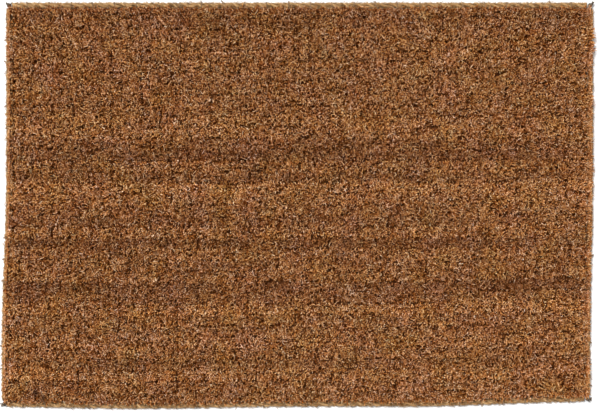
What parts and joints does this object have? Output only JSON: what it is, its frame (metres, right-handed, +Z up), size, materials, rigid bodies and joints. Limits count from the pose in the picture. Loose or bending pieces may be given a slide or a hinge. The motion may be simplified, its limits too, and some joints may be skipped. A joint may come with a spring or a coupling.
{
  "type": "door mat",
  "caption": "Rectangular coir door mat: a dense cut pile on a hand-woven ground, with a plaited braid stitched round its edges and a knot at each corner.",
  "frame": {"origin": "the middle of the underside, on the floor", "axes": "+X along the length, +Y across the width from the front edge to the back edge, +Z up through the pile"},
  "size_m": [0.6, 0.412, 0.024],
  "materials": {
    "coir_pile": "dry, fibrous cut ends",
    "coir_chain": "twisted two-ply yarn",
    "coir_weft": "twisted two-ply yarn",
    "coir_braid": "plaited yarn, worn smooth",
    "coir_knot": "tight dark twine",
    "twine": "thin twisted twine"
  },
  "bodies": {
    "root": {"pile_line_01": "coir_pile", "pile_line_02": "coir_pile", "pile_line_03": "coir_pile", "pile_line_04": "coir_pile", "pile_line_05": "coir_pile", "pile_line_06": "coir_pile", "pile_line_07": "coir_pile", "pile_line_08": "coir_pile", "pile_line_09": "coir_pile", "pile_line_10": "coir_pile", "pile_line_11": "coir_pile", "pile_line_12": "coir_pile", "pile_line_13": "coir_pile", "pile_line_14": "coir_pile", "pile_line_15": "coir_pile", "pile_line_16": "coir_pile", "pile_line_17": "coir_pile", "pile_line_18": "coir_pile", "pile_line_19": "coir_pile", "pile_line_20": "coir_pile", "pile_line_21": "coir_pile", "pile_line_22": "coir_pile", "pile_line_23": "coir_pile", "pile_line_24": "coir_pile", "pile_line_25": "coir_pile", "pile_line_26": "coir_pile", "pile_line_27": "coir_pile", "pile_line_28": "coir_pile", "pile_line_29": "coir_pile", "pile_line_30": "coir_pile", "pile_line_31": "coir_pile", "pile_line_32": "coir_pile", "pile_line_33": "coir_pile", "pile_line_34": "coir_pile", "pile_line_35": "coir_pile", "pile_line_36": "coir_pile", "tight_chain": "coir_chain", "slack_chain": "coir_chain", "upper_picks": "coir_weft", "lower_picks": "coir_weft", "braid_front_strand_1": "coir_braid", "braid_front_strand_2": "coir_braid", "braid_front_strand_3": "coir_braid", "stitches_front": "twine", "braid_back_strand_1": "coir_braid", "braid_back_strand_2": "coir_braid", "braid_back_strand_3": "coir_braid", "stitches_back": "twine", "braid_left_strand_1": "coir_braid", "braid_left_strand_2": "coir_braid", "braid_left_strand_3": "coir_braid", "stitches_left": "twine", "braid_right_strand_1": "coir_braid", "braid_right_strand_2": "coir_braid", "braid_right_strand_3": "coir_braid", "stitches_right": "twine", "corner_knot_front_left": "coir_knot", "corner_knot_front_right": "coir_knot", "corner_knot_back_left": "coir_knot", "corner_knot_back_right": "coir_knot"}
  },
  "joints": []
}
